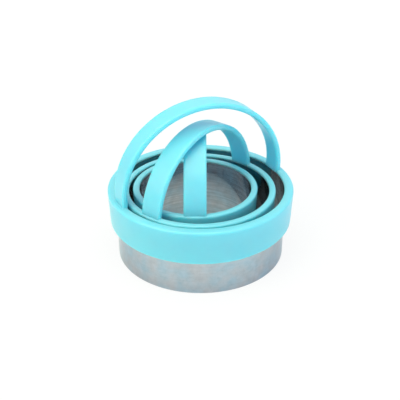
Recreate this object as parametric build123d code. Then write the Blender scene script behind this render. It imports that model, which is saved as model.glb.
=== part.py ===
from build123d import *
import math
import os

# Set of three round biscuit cutters that stand on their cutting edges, one inside another.
# Each is a steel ring, the blade, with a plastic grip moulded round its upper half:
# a rim and an arched strap handle in one piece. Lengths are in millimetres, angles in degrees.
# The origin is on the table under the middle of the large cutter.

# Whole set
LARGE_CUT_DIAMETER = 85.0  # outside of the largest blade, which is the round that it cuts
BODY_HEIGHT = 36.0  # cutting edge to the top of the rim, the same on all three
NEST_CLEARANCE = 3.7  # room round a cutter that stands in the middle of the next larger one

# Steel blade: a strip rolled into a ring and spot welded where its ends overlap
BLADE_WALL = 0.4
LAP_LENGTH = 6.0  # how far the outer end of the strip lies over the inner end
JOGGLE_LENGTH = 3.0  # run in which the outer end steps out by one wall
FLARE_WIDTH = 0.8  # how far the top edge turns out inside the grip, at 45 degrees
WELD_DIAMETER = 2.4
WELD_DEPTH = 0.1  # dent that the welding tip leaves on each side
WELD_PITCH = 6.5
WELD_COUNT = 5

# Rim
RIM_HEIGHT = 17.5
LARGE_OVERHANG = 4.0  # how far the large rim's top stands out from its blade
LESSER_OVERHANG = 2.7  # the same on the two smaller cutters, whose rims are slimmer
RIM_DRAFT = 0.8  # how much the rim's wall draws in towards its lower edge
LIP_COVER = 0.6  # plastic over the blade's top edge
LIP_STEP = 0.2  # how far that lip stands in from the blade's inner face
OUTER_EDGE_RADIUS = 1.1
INNER_EDGE_RADIUS = 0.9
LOWER_EDGE_RADIUS = 0.8

# Strap handle
STRAP_WIDTH = 10.8
STRAP_THICKNESS = 2.8
STRAP_EDGE_RADIUS = 1.0
LARGE_OUTSET = -0.7  # inner face of the strap outside (+) or inside (-) the lip
LESSER_OUTSET = -0.1
FOOT_RADIUS = 0.6  # rounding between the strap and the rim's top
FOOT_STEPS = 3
FOOT_SINK = 0.1  # how far the top of that rounding dips into the strap

# Handle heights over the rim, the small one first and the others with room to lift over it
SMALL_HANDLE_HEIGHT = 28.0
MEDIUM_HANDLE_ROOM = 2.0
LARGE_HANDLE_ROOM = 8.9

# Spring lines, where each arch turns upright, over (+) or under (-) the rim's top
SMALL_SPRING_LINE = -3.4
MEDIUM_SPRING_LINE = -4.4
LARGE_SPRING_LINE = 3.5

# How the set was put down: the way each handle points, anticlockwise from +X
LARGE_HANDLE_ANGLE = 27.0
MEDIUM_HANDLE_ANGLE = 52.0
SMALL_HANDLE_ANGLE = 90.0
SEAM_FROM_HANDLE = 90.0  # the blade's lap is square to the handle

# Each cutter inside another has slid off centre by this share of its clearance, this way
MEDIUM_SHIFT_SHARE = 0.7
MEDIUM_SHIFT_ANGLE = -106.0
SMALL_SHIFT_SHARE = 0.64
SMALL_SHIFT_ANGLE = 144.0

# Cuts run past the faces that they cut by this much
OVERRUN = 1.0

FULL_TURN = 360.0
HALF_TURN = FULL_TURN / 2
QUARTER_TURN = FULL_TURN / 4

FLARE_START = BODY_HEIGHT - LIP_COVER - FLARE_WIDTH
BLADE_TOP = BODY_HEIGHT - LIP_COVER
RIM_BOTTOM = BODY_HEIGHT - RIM_HEIGHT
ROOT_DEPTH = LIP_COVER + FLARE_WIDTH / 2  # how far the strap's ends are sunk into the rim
NEST_STEP = LESSER_OVERHANG + BLADE_WALL + LIP_STEP + NEST_CLEARANCE

LARGE_RADIUS = LARGE_CUT_DIAMETER / 2
MEDIUM_RADIUS = LARGE_RADIUS - NEST_STEP
SMALL_RADIUS = MEDIUM_RADIUS - NEST_STEP

MEDIUM_HANDLE_HEIGHT = SMALL_HANDLE_HEIGHT + MEDIUM_HANDLE_ROOM + STRAP_THICKNESS
LARGE_HANDLE_HEIGHT = MEDIUM_HANDLE_HEIGHT + LARGE_HANDLE_ROOM + STRAP_THICKNESS


def polar(radius, angle):
    """Point at this distance from the ring's axis, in this direction."""
    return Vector(radius * math.cos(math.radians(angle)), radius * math.sin(math.radians(angle)))


def arc_angle(length, radius):
    """Angle that an arc of this length takes up on a ring of this radius."""
    return math.degrees(length / radius)


def strip_outline(radius, lap_angle, joggle_angle):
    """Plan of one side of the rolled strip: round the ring, then out by one wall over its start."""
    stepped_radius = radius + BLADE_WALL
    with BuildSketch() as plan:
        with BuildLine():
            CenterArc((0, 0), radius, lap_angle, FULL_TURN - joggle_angle - lap_angle)
            Line(polar(radius, -joggle_angle), polar(stepped_radius, 0))
            if lap_angle > 0:
                CenterArc((0, 0), stepped_radius, 0, lap_angle)
            Line(polar(stepped_radius, lap_angle), polar(radius, lap_angle))
        make_face()
    return plan.sketch


def turned(*corners):
    """Solid of revolution round Z, from corners given as distance from the axis and height."""
    return revolve(Plane.XZ * make_face(Polyline(*corners, close=True)), Axis.Z)


def flare(radius):
    """Top edge of the blade, turned out so that the grip cannot pull off."""
    inner_radius = radius - BLADE_WALL
    return turned(
        (inner_radius, FLARE_START),
        (radius, FLARE_START),
        (radius + FLARE_WIDTH, BLADE_TOP),
        (inner_radius + FLARE_WIDTH, BLADE_TOP),
    )


def weld_marks(radius, lap_angle):
    """Dents of the welding tips, in a row up the lap, outside and inside."""
    tip_length = OVERRUN + WELD_DEPTH
    tip = Rot(0, QUARTER_TURN, 0) * Cylinder(WELD_DIAMETER / 2, tip_length)
    outside = radius + BLADE_WALL - WELD_DEPTH + tip_length / 2
    inside = radius - BLADE_WALL + WELD_DEPTH - tip_length / 2
    marks = []
    for number in range(WELD_COUNT):
        height = WELD_PITCH * (number + 1 / 2)
        for distance in (outside, inside):
            marks.append(Rot(0, 0, lap_angle / 2) * Pos(distance, 0, height) * tip)
    return marks


def blade(radius):
    """Steel ring, with its lap at angle zero."""
    lap_angle = arc_angle(LAP_LENGTH, radius)
    joggle_angle = arc_angle(JOGGLE_LENGTH, radius)
    outer = extrude(strip_outline(radius, lap_angle, joggle_angle), FLARE_START)
    inner = extrude(strip_outline(radius - BLADE_WALL, 0, joggle_angle), FLARE_START)
    return outer - inner + flare(radius) - weld_marks(radius, lap_angle)


def rim(radius, overhang):
    """Ring of plastic round the upper half of the blade, lapped over its flared edge."""
    inner_radius = radius - BLADE_WALL
    lip_radius = inner_radius - LIP_STEP
    outer_radius = radius + overhang
    lower_radius = outer_radius - RIM_DRAFT
    section = make_face(
        Polyline(
            (lip_radius, FLARE_START),
            (lip_radius, BODY_HEIGHT),
            (outer_radius, BODY_HEIGHT),
            (lower_radius, RIM_BOTTOM),
            (radius, RIM_BOTTOM),
            (radius, FLARE_START),
            (radius + FLARE_WIDTH, BLADE_TOP),
            (inner_radius + FLARE_WIDTH, BLADE_TOP),
            (inner_radius, FLARE_START),
            close=True,
        )
    )
    roundings = (
        ((lip_radius, BODY_HEIGHT), INNER_EDGE_RADIUS),
        ((outer_radius, BODY_HEIGHT), OUTER_EDGE_RADIUS),
        ((lower_radius, RIM_BOTTOM), LOWER_EDGE_RADIUS),
    )
    for corner, edge_radius in roundings:
        section = fillet(section.vertices().sort_by_distance(corner)[0], edge_radius)
    return revolve(Plane.XZ * section, Axis.Z)


def arch_face(half_width, height, spring_line, root):
    """Upright face under one side of the strap: a half ellipse on two straight legs."""
    arc = EllipticalCenterArc((0, spring_line), half_width, height - spring_line, arc_size=HALF_TURN)
    legs = Polyline(
        (-half_width, spring_line),
        (-half_width, root),
        (half_width, root),
        (half_width, spring_line),
    )
    return Plane.XZ * make_face([arc, legs])


def arch_half_width(half_width, height, spring_line, level):
    """Half the width of an arch at this level."""
    share = max(level - spring_line, 0) / (height - spring_line)
    return half_width * math.sqrt(1 - share**2)


def strap(half_width, height, spring_line):
    """Arched strap along X, with levels counted from the rim's top."""
    root = min(spring_line, 0) - ROOT_DEPTH
    outer = arch_face(half_width, height, spring_line, root)
    inner = arch_face(half_width - STRAP_THICKNESS, height - STRAP_THICKNESS, spring_line, root)
    band = extrude(outer, STRAP_WIDTH / 2, both=True) - extrude(inner, STRAP_WIDTH, both=True)
    band = split(band, Plane.XY.offset(-ROOT_DEPTH), keep=Keep.TOP)
    long_edges = band.edges().filter_by(
        lambda edge: abs(edge.center().Y) > STRAP_WIDTH / 4 and edge.center().Z > -ROOT_DEPTH / 2
    )
    return fillet(long_edges, STRAP_EDGE_RADIUS)


def foot(half_width, height, spring_line, flat_edge):
    """Hollow rounding from the strap's sides and outer face into the rim's top, where that is flat."""
    sections = []
    for step in range(-1, FOOT_STEPS + 1):
        angle = math.radians(QUARTER_TURN * max(step, 0) / FOOT_STEPS)
        spread = FOOT_RADIUS * (1 - math.sin(angle)) - FOOT_SINK
        level = FOOT_RADIUS * (1 - math.cos(angle)) if step >= 0 else -ROOT_DEPTH / 2
        strap_face = arch_half_width(half_width, height, spring_line, level)
        outside = min(strap_face + spread, flat_edge)
        inside = strap_face - STRAP_THICKNESS + STRAP_EDGE_RADIUS / 2
        outline = RectangleRounded(outside - inside, STRAP_WIDTH + 2 * spread, STRAP_EDGE_RADIUS / 2)
        sections.append(Pos((outside + inside) / 2, 0, level) * outline)
    return loft(sections, ruled=True)


def handle(radius, overhang, outset, height, spring_line):
    """Strap along X with a foot at each end, on the rim's top."""
    half_width = radius - BLADE_WALL - LIP_STEP + outset + STRAP_THICKNESS
    right_foot = foot(half_width, height, spring_line, radius + overhang - OUTER_EDGE_RADIUS)
    bow = strap(half_width, height, spring_line) + right_foot + mirror(right_foot, Plane.YZ)
    return Pos(0, 0, BODY_HEIGHT) * bow


def cutter(radius, overhang, outset, height, spring_line, handle_angle):
    """Blade and grip of one cutter over the origin. Rim and handle are one moulding on the steel."""
    steel = Rot(0, 0, SEAM_FROM_HANDLE) * blade(radius)
    bow = handle(radius, overhang, outset, height, spring_line)
    plastic = (rim(radius, overhang) - steel) + (bow - steel)
    turn = Rot(0, 0, handle_angle)
    return {"blade": turn * steel, "grip": turn * plastic}


def nest_places():
    """Where each cutter stands: each has slid about inside the next larger one."""
    medium = polar(NEST_CLEARANCE * MEDIUM_SHIFT_SHARE, MEDIUM_SHIFT_ANGLE)
    small = medium + polar(NEST_CLEARANCE * SMALL_SHIFT_SHARE, SMALL_SHIFT_ANGLE)
    return {"large": Vector(0, 0, 0), "medium": medium, "small": small}


RIMS = {
    "large": (LARGE_RADIUS, LARGE_OVERHANG, LARGE_OUTSET),
    "medium": (MEDIUM_RADIUS, LESSER_OVERHANG, LESSER_OUTSET),
    "small": (SMALL_RADIUS, LESSER_OVERHANG, LESSER_OUTSET),
}
HANDLES = {
    "large": (LARGE_HANDLE_HEIGHT, LARGE_SPRING_LINE, LARGE_HANDLE_ANGLE),
    "medium": (MEDIUM_HANDLE_HEIGHT, MEDIUM_SPRING_LINE, MEDIUM_HANDLE_ANGLE),
    "small": (SMALL_HANDLE_HEIGHT, SMALL_SPRING_LINE, SMALL_HANDLE_ANGLE),
}

os.makedirs("parts", exist_ok=True)
for size, place in nest_places().items():
    for piece, solid in cutter(*RIMS[size], *HANDLES[size]).items():
        export_step(Pos(place) * solid, f"parts/{size}_{piece}.step")
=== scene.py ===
import math

import bmesh
import bpy
from mathutils import Matrix, Vector


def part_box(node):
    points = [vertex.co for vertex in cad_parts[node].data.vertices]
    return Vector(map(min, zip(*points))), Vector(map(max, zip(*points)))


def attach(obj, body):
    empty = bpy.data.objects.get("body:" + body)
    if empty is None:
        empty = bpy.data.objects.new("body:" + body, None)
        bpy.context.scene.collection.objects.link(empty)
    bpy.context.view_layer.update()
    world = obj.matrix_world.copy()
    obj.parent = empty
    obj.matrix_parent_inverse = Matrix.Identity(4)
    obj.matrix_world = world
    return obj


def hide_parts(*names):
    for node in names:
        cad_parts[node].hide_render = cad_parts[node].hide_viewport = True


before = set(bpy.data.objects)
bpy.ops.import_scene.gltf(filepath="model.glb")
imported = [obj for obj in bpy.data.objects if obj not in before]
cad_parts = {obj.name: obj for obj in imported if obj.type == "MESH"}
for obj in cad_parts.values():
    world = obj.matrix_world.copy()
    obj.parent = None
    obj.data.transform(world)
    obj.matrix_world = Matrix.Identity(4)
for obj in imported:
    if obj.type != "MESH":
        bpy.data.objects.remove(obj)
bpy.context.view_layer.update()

# Three round biscuit cutters, nested. Each is a rolled steel ring in a moulded plastic grip,
# which is a rim and a strap handle in one piece. Lengths are in metres.

MM = 0.001

CUTTERS = ("large", "medium", "small")
CUT_RADIUS = {"large": 42.5 * MM, "medium": 35.5 * MM, "small": 28.5 * MM}
HANDLE_ANGLE = {"large": 27.0, "medium": 52.0, "small": 90.0}  # degrees

# Rolled steel strip, as in the solids
WALL = 0.4 * MM
BLADE_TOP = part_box("large_blade")[1][2]
FLARE_WIDTH = 0.8 * MM
LAP = 6.0 * MM
JOGGLE = 3.0 * MM
WELD_RADIUS = 1.2 * MM
WELD_FLOOR = 0.55  # share of a weld's radius that is its flat floor
WELD_DEPTH = 0.1 * MM
WELD_PITCH = 6.5 * MM
WELD_COUNT = 5
SEAM_FROM_HANDLE = 90.0  # degrees

# Hand-rolled strip is never quite round
RIPPLE = 0.05 * MM
RIPPLE_SIZE = 16 * MM
FIRST_SEED = 3

# How finely a strip is divided
LINE_POINTS = 300
END_SHARE = 0.2  # share of the points that goes to each end, where lap and joggle are
END_LAPS = 1.2  # length of such an end in laps, before the joggle is added
SIDE_POINTS = 90
MERGE_DISTANCE = 0.001 * MM
CREASE = math.radians(35.0)

# Marks on the steel, by their size
LINE_LENGTH, LINE_PITCH = 40 * MM, 0.5 * MM
RUB_LENGTH, RUB_PITCH, RUB_SLANT = 24 * MM, 0.9 * MM, math.radians(32.0)
CLOUD_SIZE, TINT_SIZE = 3.5 * MM, 8 * MM
SCRATCH_DEPTH = 0.008 * MM

# Plastic: how deep light goes into it, and how its surface varies
SCATTER_DEPTH = 6.0 * MM
SCATTER_BY_COLOUR = (0.2, 1.0, 1.1)
LIP_HEIGHT, LIP_REACH = 35.8 * MM, 0.4 * MM
FLOW_SIZE, HAZE_SIZE, SINK_SIZE = 18 * MM, 2.5 * MM, 7 * MM
SINK_DEPTH = 0.15 * MM

# Table: how far it reaches, how far below the cutting edges it lies, how much of what the camera
# sees of it is plain white, and how far off it starts to glow and is all white
TABLE_REACH = 5.0
TABLE_DROP = 0.05 * MM
PLAIN_SHARE = 0.84
GLOW_START, GLOW_FULL = 0.12, 0.5

ROOM_STRENGTH = 0.64
WARM_WHITE, COOL_WHITE = (1.0, 0.98, 0.70), (0.86, 0.94, 1.0)
LAMP_AIM = (0.0, 0.0, 0.03)
SOFTBOXES = {  # place, width, watts, colour
    "left_softbox": ((-0.5, -0.3, 0.5), 0.6, 2.35, WARM_WHITE),
    "top_softbox": ((0.0, -0.1, 0.8), 0.9, 5.1, WARM_WHITE),
    "right_softbox": ((0.7, -0.35, 0.3), 0.5, 1.3, COOL_WHITE)}

# Camera, from the fit of the rings and handles in the photograph
CAMERA_DISTANCE = 385.0 * MM
CAMERA_ELEVATION = math.radians(29.77)
CAMERA_TARGET = Vector((-0.3005 * MM, 0.0, 26.79 * MM))
FOCAL_SHARE = 758.43 / 400  # focal length over the picture's width
SENSOR = 36.0  # millimetres, as Blender takes it
NEAREST, FARTHEST = 0.01, 20.0

MATH, MAP_RANGE = "ShaderNodeMath", "ShaderNodeMapRange"
WHITE = (1, 1, 1, 1)


def linear(code):
    """sRGB hex colour as the linear RGBA that a shader takes."""
    parts = [int(code[i:i + 2], 16) / 255 for i in (1, 3, 5)]
    return [p / 12.92 if p <= 0.04045 else ((p + 0.055) / 1.055) ** 2.4 for p in parts] + [1.0]


def put(tree, kind, inputs=(), **settings):
    """Adds a node with its settings. An input gets a value, or the socket or node that feeds it.

    Of a node it gets the first output.
    """
    made = tree.nodes.new(kind)
    for name, value in settings.items():
        setattr(made, name, value)
    for key, value in dict(inputs).items():
        if isinstance(value, bpy.types.Node):
            value = value.outputs[0]
        if isinstance(value, bpy.types.NodeSocket):
            tree.links.new(value, made.inputs[key])
        else:
            made.inputs[key].default_value = value
    return made


def new_material(name):
    """New material with a plain shader on its output: (material, its tree, the shader)."""
    material = bpy.data.materials.new(name)
    material.use_nodes = True
    tree = material.node_tree
    tree.nodes.clear()
    shader = put(tree, "ShaderNodeBsdfPrincipled")
    put(tree, "ShaderNodeOutputMaterial", {"Surface": shader})
    return material, tree, shader


def rolled_stainless():
    """Stainless steel strip, bright rolled: it mirrors the table and the white room softly.

    Rolling has drawn fine lines along the strip, round the ring, and handling has left faint
    cloudy patches, a little bluer or warmer. Rolling lines are a few hundredths of a millimetre
    apart, too fine to show, so they are drawn about half a millimetre apart.
    """
    material, tree, shader = new_material("bright_rolled_stainless_strip")
    shader.inputs["Metallic"].default_value = 1.0
    along, up, side = (put(tree, "ShaderNodeAttribute", attribute_name=name).outputs["Fac"]
                       for name in ("along", "up", "side"))
    strip = put(tree, "ShaderNodeCombineXYZ", {"X": along, "Y": up})
    place = put(tree, "ShaderNodeTexCoord").outputs["Object"]

    line_place = put(tree, "ShaderNodeVectorMath", {
        0: strip, 1: (1 / LINE_LENGTH, 1 / LINE_PITCH, 0.0)}, operation="MULTIPLY")
    lines = put(tree, "ShaderNodeTexNoise", {
        "Vector": line_place, "Scale": 1.0, "Detail": 3.0, "Roughness": 0.6})
    # Long faint rub marks that run askew to the rolling
    rub_place = put(tree, "ShaderNodeMapping", {
        "Vector": strip, "Rotation": (0.0, 0.0, RUB_SLANT),
        "Scale": (1 / RUB_LENGTH, 1 / RUB_PITCH, 1.0)}, vector_type="POINT")
    rubs = put(tree, "ShaderNodeTexNoise", {
        "Vector": rub_place, "Scale": 1.0, "Detail": 2.0, "Roughness": 0.5})
    marks = put(tree, MATH, {0: lines, 1: 0.6, 2: rubs}, operation="MULTIPLY_ADD")
    clouds = put(tree, "ShaderNodeTexNoise", {
        "Vector": place, "Scale": 1 / CLOUD_SIZE, "Detail": 5.0, "Roughness": 0.65})
    tints = put(tree, "ShaderNodeTexNoise", {"Vector": place, "Scale": 1 / TINT_SIZE, "Detail": 2.0})

    # Bare steel, greyer in patches. Inside the ring its colour is painted brighter than outside: painted
    # light that lightens the inside face
    tones = {}
    for name, pattern, stops in (("inner_painted_light", clouds, ((0.3, "#b3bec5"), (0.7, "#c7d1d7"))),
                                 ("outer_tone", clouds, ((0.3, "#a6b1ba"), (0.7, "#b5bfc8"))),
                                 ("tint", tints, ((0.35, "#fff3f3"), (0.65, "#edf7ff")))):
        tones[name] = put(tree, "ShaderNodeValToRGB", {"Fac": pattern})
        for end, (position, colour) in zip(tones[name].color_ramp.elements, stops):
            end.position, end.color = position, linear(colour)
    outside = put(tree, MAP_RANGE, {"Value": side, "From Min": -1.0, "From Max": 1.0})
    # The inside of the ring takes the brighter tone, which is painted light; the outside takes the plain
    # steel tone
    tone_and_painted_light = put(tree, "ShaderNodeMix", {
        "Factor": outside, "A": tones["inner_painted_light"], "B": tones["outer_tone"]}, data_type="RGBA")
    tinted = put(tree, "ShaderNodeMix", {
        "Factor": 1.0, "A": tone_and_painted_light.outputs["Result"], "B": tones["tint"]},
        data_type="RGBA", blend_type="MULTIPLY")

    # The marks show inside the ring, and are nearly polished away outside
    shown = put(tree, MAP_RANGE, {
        "Value": side, "From Min": -1.0, "From Max": 1.0, "To Min": 1.0, "To Max": 0.15})
    grime = put(tree, MAP_RANGE, {
        "Value": marks, "From Min": 0.62, "From Max": 0.98, "To Min": 0.85, "To Max": 1.12})
    streaky = put(tree, "ShaderNodeMix", {
        "Factor": shown, "A": tinted.outputs["Result"], "B": grime},
        data_type="RGBA", blend_type="MULTIPLY")
    tree.links.new(streaky.outputs["Result"], shader.inputs["Base Color"])

    # Duller where it is cloudy, and along the lines
    cloudy = put(tree, MAP_RANGE, {
        "Value": clouds, "From Min": 0.3, "From Max": 0.7, "To Min": 0.09, "To Max": 0.05})
    rough = put(tree, MATH, {0: lines, 1: 0.03, 2: cloudy}, operation="MULTIPLY_ADD")
    tree.links.new(rough.outputs[0], shader.inputs["Roughness"])
    scratch = put(tree, "ShaderNodeBump", {
        "Height": marks, "Strength": 0.5, "Distance": SCRATCH_DEPTH})
    tree.links.new(scratch.outputs["Normal"], shader.inputs["Normal"])
    return material


def moulded_aqua():
    """Polypropylene, injection moulded in a polished mould: an even, softly glossy aqua.

    Light goes some way into it, so its edges and shaded sides stay bright. The surface has the
    faint slow ripple that moulded walls shrink into, and its gloss varies a little.
    """
    material, tree, shader = new_material("moulded_aqua_polypropylene")
    shader.inputs["IOR"].default_value = 1.49
    shader.inputs["Subsurface Radius"].default_value = SCATTER_BY_COLOUR
    shader.inputs["Subsurface Scale"].default_value = SCATTER_DEPTH
    place = put(tree, "ShaderNodeTexCoord").outputs["Object"]
    # The thin lip lies on the steel's bright edge, so light comes back instead of passing through
    height = put(tree, "ShaderNodeSeparateXYZ", {"Vector": place})
    on_lip = put(tree, MATH, {0: height.outputs["Z"], 1: LIP_HEIGHT, 2: LIP_REACH}, operation="COMPARE")
    depth = put(tree, MAP_RANGE, {"Value": on_lip, "To Min": 1.0, "To Max": 0.3})
    tree.links.new(depth.outputs["Result"], shader.inputs["Subsurface Weight"])

    flow = put(tree, "ShaderNodeTexNoise", {"Vector": place, "Scale": 1 / FLOW_SIZE, "Detail": 2.0})
    colour = put(tree, "ShaderNodeMix", {
        "Factor": flow, "A": linear("#74cee1"), "B": linear("#7bd3e5")}, data_type="RGBA")
    tree.links.new(colour.outputs["Result"], shader.inputs["Base Color"])
    haze = put(tree, "ShaderNodeTexNoise", {"Vector": place, "Scale": 1 / HAZE_SIZE, "Detail": 2.0})
    rough = put(tree, MAP_RANGE, {"Value": haze, "To Min": 0.28, "To Max": 0.34})
    tree.links.new(rough.outputs["Result"], shader.inputs["Roughness"])
    sink = put(tree, "ShaderNodeTexNoise", {"Vector": place, "Scale": 1 / SINK_SIZE, "Detail": 1.0})
    ripple = put(tree, "ShaderNodeBump", {"Height": sink, "Strength": 0.15, "Distance": SINK_DEPTH})
    tree.links.new(ripple.outputs["Normal"], shader.inputs["Normal"])
    return material


def strip_tree(steel):
    """Geometry Nodes: a steel strip rolled into a ring, its outer end stepped over its inner end.

    A closed section, with its long way up, is swept along the strip's middle line. The top edge is
    then turned out and the row of welds is dented in.
    """
    tree = bpy.data.node_groups.new("rolled_strip_ring", "GeometryNodeTree")
    for name in ("Radius", "Wall", "Height", "Lap", "Joggle", "Flare Start", "Flare Width",
                 "Weld Radius", "Weld Depth", "Weld Pitch", "Ripple", "Seam Angle"):
        tree.interface.new_socket(name, in_out="INPUT", socket_type="NodeSocketFloat")
    for name in ("Weld Count", "Seed"):
        tree.interface.new_socket(name, in_out="INPUT", socket_type="NodeSocketInt")
    tree.interface.new_socket("Geometry", in_out="OUTPUT", socket_type="NodeSocketGeometry")
    given = tree.nodes.new("NodeGroupInput").outputs
    index = put(tree, "GeometryNodeInputIndex")
    half_wall = put(tree, MATH, {0: given["Wall"], 1: 0.5}, operation="MULTIPLY")

    # Way along the strip, with its points close together near both ends
    share = put(tree, MATH, {0: index, 1: LINE_POINTS - 1.0}, operation="DIVIDE")
    round_once = put(tree, MATH, {0: given["Radius"], 1: 2 * math.pi}, operation="MULTIPLY")
    length = put(tree, MATH, {0: round_once, 1: given["Lap"]}, operation="ADD")
    lap_run = put(tree, MATH, {0: given["Lap"], 1: END_LAPS}, operation="MULTIPLY")
    end_run = put(tree, MATH, {0: lap_run, 1: given["Joggle"]}, operation="ADD")
    both_ends = put(tree, MATH, {0: end_run, 1: 2.0}, operation="MULTIPLY")
    middle_run = put(tree, MATH, {0: length, 1: both_ends}, operation="SUBTRACT")
    first, middle, last = (
        put(tree, MAP_RANGE, {
            "Value": share, "From Min": low, "From Max": high, "To Min": 0.0, "To Max": run})
        for low, high, run in ((0.0, END_SHARE, end_run), (END_SHARE, 1 - END_SHARE, middle_run),
                               (1 - END_SHARE, 1.0, end_run)))
    to_last = put(tree, MATH, {0: first, 1: middle}, operation="ADD")
    along = put(tree, MATH, {0: to_last, 1: last}, operation="ADD")

    # Middle line of the strip: once round, stepping out by a wall before the lap
    step_start = put(tree, MATH, {0: round_once, 1: given["Joggle"]}, operation="SUBTRACT")
    stepped = put(tree, MAP_RANGE, {
        "Value": along, "From Min": step_start, "From Max": round_once, "To Min": 0.0,
        "To Max": given["Wall"]}, interpolation_type="SMOOTHSTEP")
    inner_radius = put(tree, MATH, {0: given["Radius"], 1: half_wall}, operation="SUBTRACT")
    line_radius = put(tree, MATH, {0: inner_radius, 1: stepped}, operation="ADD")
    turned = put(tree, MATH, {0: along, 1: given["Radius"]}, operation="DIVIDE")
    angle = put(tree, MATH, {0: turned, 1: given["Seam Angle"]}, operation="ADD")
    cosine = put(tree, MATH, {0: angle}, operation="COSINE")
    sine = put(tree, MATH, {0: angle}, operation="SINE")
    spot = put(tree, "ShaderNodeCombineXYZ", {
        "X": put(tree, MATH, {0: cosine, 1: line_radius}, operation="MULTIPLY"),
        "Y": put(tree, MATH, {0: sine, 1: line_radius}, operation="MULTIPLY")})
    line = put(tree, "GeometryNodeMeshLine", {"Count": LINE_POINTS})
    rolled = put(tree, "GeometryNodeSetPosition", {"Geometry": line, "Position": spot})
    marked = put(tree, "GeometryNodeStoreNamedAttribute", {
        "Geometry": rolled, "Name": "along", "Value": along}, data_type="FLOAT")
    path = put(tree, "GeometryNodeMeshToCurve", {"Mesh": marked})
    upright = put(tree, "GeometryNodeSetCurveNormal", {"Curve": path}, mode="Z_UP")

    # Closed section: up the outer face and down the inner one
    outer_up, inner_down = (
        put(tree, MAP_RANGE, {
            "Value": index, "From Min": low, "From Max": high, "To Min": 0.0, "To Max": given["Height"]})
        for low, high in ((0.0, SIDE_POINTS - 1.0), (float(SIDE_POINTS), 2 * SIDE_POINTS - 1.0)))
    up = put(tree, MATH, {0: outer_up, 1: inner_down}, operation="SUBTRACT")
    on_inner = put(tree, MATH, {0: index, 1: SIDE_POINTS - 0.5}, operation="GREATER_THAN")
    across = put(tree, MATH, {0: on_inner, 1: 2.0}, operation="MULTIPLY")
    side = put(tree, MATH, {0: 1.0, 1: across}, operation="SUBTRACT")  # 1 outside, -1 inside
    corner = put(tree, "ShaderNodeCombineXYZ", {
        "X": put(tree, MATH, {0: side, 1: half_wall}, operation="MULTIPLY"),
        "Y": put(tree, MATH, {0: up, 1: -1.0}, operation="MULTIPLY")})  # Y points down on this path
    section_line = put(tree, "GeometryNodeMeshLine", {"Count": 2 * SIDE_POINTS})
    section = put(tree, "GeometryNodeSetPosition", {"Geometry": section_line, "Position": corner})
    for name, value in (("up", up), ("side", side)):
        section = put(tree, "GeometryNodeStoreNamedAttribute", {
            "Geometry": section, "Name": name, "Value": value}, data_type="FLOAT")
    outline = put(tree, "GeometryNodeMeshToCurve", {"Mesh": section})
    closed = put(tree, "GeometryNodeSetSplineCyclic", {"Geometry": outline, "Cyclic": True})
    swept = put(tree, "GeometryNodeCurveToMesh", {
        "Curve": upright, "Profile Curve": closed, "Fill Caps": True})

    # Flare, welds and ripple all move the surface in or out, square to the ring's axis
    here = {name: put(tree, "GeometryNodeInputNamedAttribute", {"Name": name},
                      data_type="FLOAT").outputs["Attribute"] for name in ("along", "up", "side")}
    position = put(tree, "GeometryNodeInputPosition")
    turned_out = put(tree, MAP_RANGE, {
        "Value": here["up"], "From Min": given["Flare Start"], "From Max": given["Height"],
        "To Min": 0.0, "To Max": given["Flare Width"]})

    # How far a point is from the nearest weld, in either layer of the lap
    half_length = put(tree, MATH, {0: length, 1: 0.5}, operation="MULTIPLY")
    inner_layer = put(tree, MATH, {0: here["along"], 1: half_length}, operation="LESS_THAN")
    outer_layer = put(tree, MATH, {0: 1.0, 1: inner_layer}, operation="SUBTRACT")
    lap_start = put(tree, MATH, {0: round_once, 1: outer_layer}, operation="MULTIPLY")
    into_lap = put(tree, MATH, {0: here["along"], 1: lap_start}, operation="SUBTRACT")
    half_lap = put(tree, MATH, {0: given["Lap"], 1: 0.5}, operation="MULTIPLY")
    off_row = put(tree, MATH, {0: into_lap, 1: half_lap}, operation="SUBTRACT")
    row = put(tree, MATH, {0: here["up"], 1: given["Weld Pitch"]}, operation="DIVIDE")
    into_pitch = put(tree, MATH, {0: row}, operation="FRACT")
    off_centre = put(tree, MATH, {0: into_pitch, 1: 0.5}, operation="SUBTRACT")
    off_weld = put(tree, MATH, {0: off_centre, 1: given["Weld Pitch"]}, operation="MULTIPLY")
    squares = put(tree, MATH, {
        0: put(tree, MATH, {0: off_row, 1: off_row}, operation="MULTIPLY"),
        1: put(tree, MATH, {0: off_weld, 1: off_weld}, operation="MULTIPLY")}, operation="ADD")
    distance = put(tree, MATH, {0: squares}, operation="SQRT")

    # The welds dent the outer layer's outer face and the inner layer's inner face
    weld_floor = put(tree, MATH, {0: given["Weld Radius"], 1: WELD_FLOOR}, operation="MULTIPLY")
    dent = put(tree, MAP_RANGE, {
        "Value": distance, "From Min": weld_floor, "From Max": given["Weld Radius"],
        "To Min": given["Weld Depth"], "To Max": 0.0}, interpolation_type="SMOOTHSTEP")
    in_row = put(tree, MATH, {0: row, 1: given["Weld Count"]}, operation="LESS_THAN")
    faces_out = put(tree, MATH, {0: here["side"], 1: 0.0}, operation="GREATER_THAN")
    faces_in = put(tree, MATH, {0: 1.0, 1: faces_out}, operation="SUBTRACT")
    dented = put(tree, MATH, {
        0: put(tree, MATH, {0: outer_layer, 1: faces_out}, operation="MULTIPLY"),
        1: put(tree, MATH, {0: inner_layer, 1: faces_in}, operation="MULTIPLY")}, operation="ADD")
    inwards = put(tree, MATH, {0: here["side"], 1: -1.0}, operation="MULTIPLY")
    dent_in = put(tree, MATH, {
        0: put(tree, MATH, {0: dent, 1: in_row}, operation="MULTIPLY"),
        1: put(tree, MATH, {0: dented, 1: inwards}, operation="MULTIPLY")}, operation="MULTIPLY")

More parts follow.
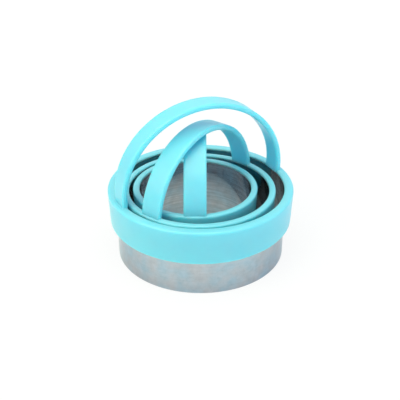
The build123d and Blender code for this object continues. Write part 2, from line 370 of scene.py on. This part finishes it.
    # The ripple fades out towards the plastic
    wave = put(tree, "ShaderNodeTexNoise", {
        "Vector": position, "W": given["Seed"], "Scale": 1 / RIPPLE_SIZE, "Detail": 1.0},
        noise_dimensions="4D")
    in_and_out = put(tree, MATH, {0: wave, 1: 0.5}, operation="SUBTRACT")
    full_ripple = put(tree, MATH, {0: in_and_out, 1: given["Ripple"]}, operation="MULTIPLY")
    free = put(tree, MAP_RANGE, {
        "Value": here["up"], "From Min": 0.0, "From Max": given["Flare Start"], "To Min": 1.0,
        "To Max": 0.0})
    rippled = put(tree, MATH, {0: full_ripple, 1: free}, operation="MULTIPLY")

    shaped_out = put(tree, MATH, {0: turned_out, 1: dent_in}, operation="ADD")
    outward = put(tree, MATH, {0: shaped_out, 1: rippled}, operation="ADD")
    flat = put(tree, "ShaderNodeVectorMath", {0: position, 1: (1.0, 1.0, 0.0)}, operation="MULTIPLY")
    radial = put(tree, "ShaderNodeVectorMath", {0: flat}, operation="NORMALIZE")
    shift = put(tree, "ShaderNodeVectorMath", {0: radial, "Scale": outward}, operation="SCALE")
    shaped = put(tree, "GeometryNodeSetPosition", {"Geometry": swept, "Offset": shift})
    real = put(tree, "GeometryNodeRealizeInstances", {"Geometry": shaped})
    clad = put(tree, "GeometryNodeSetMaterial", {"Geometry": real, "Material": steel})
    put(tree, "NodeGroupOutput", {"Geometry": clad})
    return tree


def made_by_nodes(name, tree, values):
    """Plain mesh object from a Geometry Nodes tree and its named input values."""
    holder = bpy.data.objects.new(name + "_holder", bpy.data.meshes.new(name + "_holder"))
    bpy.context.scene.collection.objects.link(holder)
    modifier = holder.modifiers.new("form", "NODES")
    modifier.node_group = tree
    for item in tree.interface.items_tree:
        if item.in_out == "INPUT" and item.name in values:
            modifier[item.identifier] = values[item.name]
    holder.update_tag()
    shape = holder.evaluated_get(bpy.context.evaluated_depsgraph_get())
    mesh = bpy.data.meshes.new_from_object(shape)
    mesh.name = name
    bpy.data.objects.remove(holder)
    made = bpy.data.objects.new(name, mesh)
    bpy.context.scene.collection.objects.link(made)
    return made


def outward_and_smooth(piece):
    """Merges doubles, turns every face outwards and leaves only real edges sharp."""
    form = bmesh.new()
    form.from_mesh(piece.data)
    bmesh.ops.remove_doubles(form, verts=form.verts, dist=MERGE_DISTANCE)
    bmesh.ops.recalc_face_normals(form, faces=form.faces)
    form.to_mesh(piece.data)
    form.free()
    piece.data.polygons.foreach_set("use_smooth", [True] * len(piece.data.polygons))
    piece.data.set_sharp_from_angle(angle=CREASE)


def ring_centre(size):
    """Where that cutter's axis meets the table. The rim is the widest thing on each cutter."""
    low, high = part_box(size + "_grip")
    return Vector(((low[0] + high[0]) / 2, (low[1] + high[1]) / 2, 0.0))


steel = rolled_stainless()
plastic = moulded_aqua()
strip = strip_tree(steel)
for number, size in enumerate(CUTTERS):
    ring = made_by_nodes(size + "_rolled_strip", strip, {
        "Radius": CUT_RADIUS[size], "Wall": WALL, "Height": BLADE_TOP, "Lap": LAP, "Joggle": JOGGLE,
        "Flare Start": BLADE_TOP - FLARE_WIDTH, "Flare Width": FLARE_WIDTH, "Weld Radius": WELD_RADIUS,
        "Weld Depth": WELD_DEPTH, "Weld Pitch": WELD_PITCH, "Weld Count": WELD_COUNT,
        "Ripple": RIPPLE, "Seed": FIRST_SEED + number,
        "Seam Angle": math.radians(HANDLE_ANGLE[size] + SEAM_FROM_HANDLE)})
    ring.data.transform(Matrix.Translation(ring_centre(size)))
    outward_and_smooth(ring)
    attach(ring, size + "_cutter")
    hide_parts(size + "_blade")

    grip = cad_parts[size + "_grip"]
    grip.data.materials.clear()
    grip.data.materials.append(plastic)

# Plain white table. The camera sees it as white, with a faint soft shadow near the rings.
floor_mesh = bpy.data.meshes.new("table_top")
floor_mesh.from_pydata([(-TABLE_REACH, -TABLE_REACH, 0), (TABLE_REACH, -TABLE_REACH, 0),
                        (TABLE_REACH, TABLE_REACH, 0), (-TABLE_REACH, TABLE_REACH, 0)],
                       [], [(0, 1, 2, 3)])
floor = bpy.data.objects.new("table_top", floor_mesh)
floor.location.z = -TABLE_DROP
bpy.context.scene.collection.objects.link(floor)
table, tree, shader = new_material("white_table")
shader.inputs["Base Color"].default_value = linear("#f4f4f4")
shader.inputs["Roughness"].default_value = 0.6
camera_ray = put(tree, "ShaderNodeLightPath").outputs["Is Camera Ray"]
place = put(tree, "ShaderNodeTexCoord").outputs["Object"]
far = put(tree, "ShaderNodeVectorMath", {0: place}, operation="LENGTH").outputs["Value"]
fading = put(tree, MAP_RANGE, {"Value": far, "From Min": GLOW_START, "From Max": GLOW_FULL})
glow = put(tree, MATH, {0: camera_ray, 1: fading}, operation="MULTIPLY")
shader.inputs["Emission Color"].default_value = WHITE
tree.links.new(glow.outputs[0], shader.inputs["Emission Strength"])
plain = put(tree, "ShaderNodeEmission", {"Color": WHITE, "Strength": 1.0})
plain_share = put(tree, MATH, {0: camera_ray, 1: PLAIN_SHARE}, operation="MULTIPLY")
blend = put(tree, "ShaderNodeMixShader", {0: plain_share, 1: shader, 2: plain})
tree.links.new(blend.outputs[0], tree.nodes["Material Output"].inputs["Surface"])
floor_mesh.materials.append(table)

# White room, which lights the cutters softly and a little bluish
world = bpy.data.worlds.new("white_studio")
bpy.context.scene.world = world
world.use_nodes = True
tree = world.node_tree
tree.nodes.clear()
rays = put(tree, "ShaderNodeLightPath").outputs
seen = put(tree, MATH, {0: rays["Is Camera Ray"], 1: rays["Is Glossy Ray"]}, operation="MAXIMUM")
soft = put(tree, "ShaderNodeBackground", {"Color": linear("#d2e6ff"), "Strength": ROOM_STRENGTH})
white = put(tree, "ShaderNodeBackground", {"Color": WHITE, "Strength": 1.0})
put(tree, "ShaderNodeOutputWorld", {
    "Surface": put(tree, "ShaderNodeMixShader", {0: seen, 1: soft, 2: white})})

for name, (place, width, watts, colour) in SOFTBOXES.items():
    lamp = bpy.data.lights.new(name, "AREA")
    lamp.shape, lamp.size, lamp.energy, lamp.color = "SQUARE", width, watts, colour
    box = bpy.data.objects.new(name, lamp)
    box.location = place
    box.rotation_euler = (Vector(LAMP_AIM) - Vector(place)).to_track_quat("-Z", "Y").to_euler()
    bpy.context.scene.collection.objects.link(box)

camera_data = bpy.data.cameras.new("camera")
camera_data.sensor_width = SENSOR
camera_data.lens = FOCAL_SHARE * SENSOR
camera_data.clip_start, camera_data.clip_end = NEAREST, FARTHEST
camera = bpy.data.objects.new("camera", camera_data)
camera.location = CAMERA_TARGET + CAMERA_DISTANCE * Vector(
    (0.0, -math.cos(CAMERA_ELEVATION), math.sin(CAMERA_ELEVATION)))
camera.rotation_euler = (math.pi / 2 - CAMERA_ELEVATION, 0.0, 0.0)
bpy.context.scene.collection.objects.link(camera)
bpy.context.scene.camera = camera
bpy.context.scene.view_settings.view_transform = "Standard"
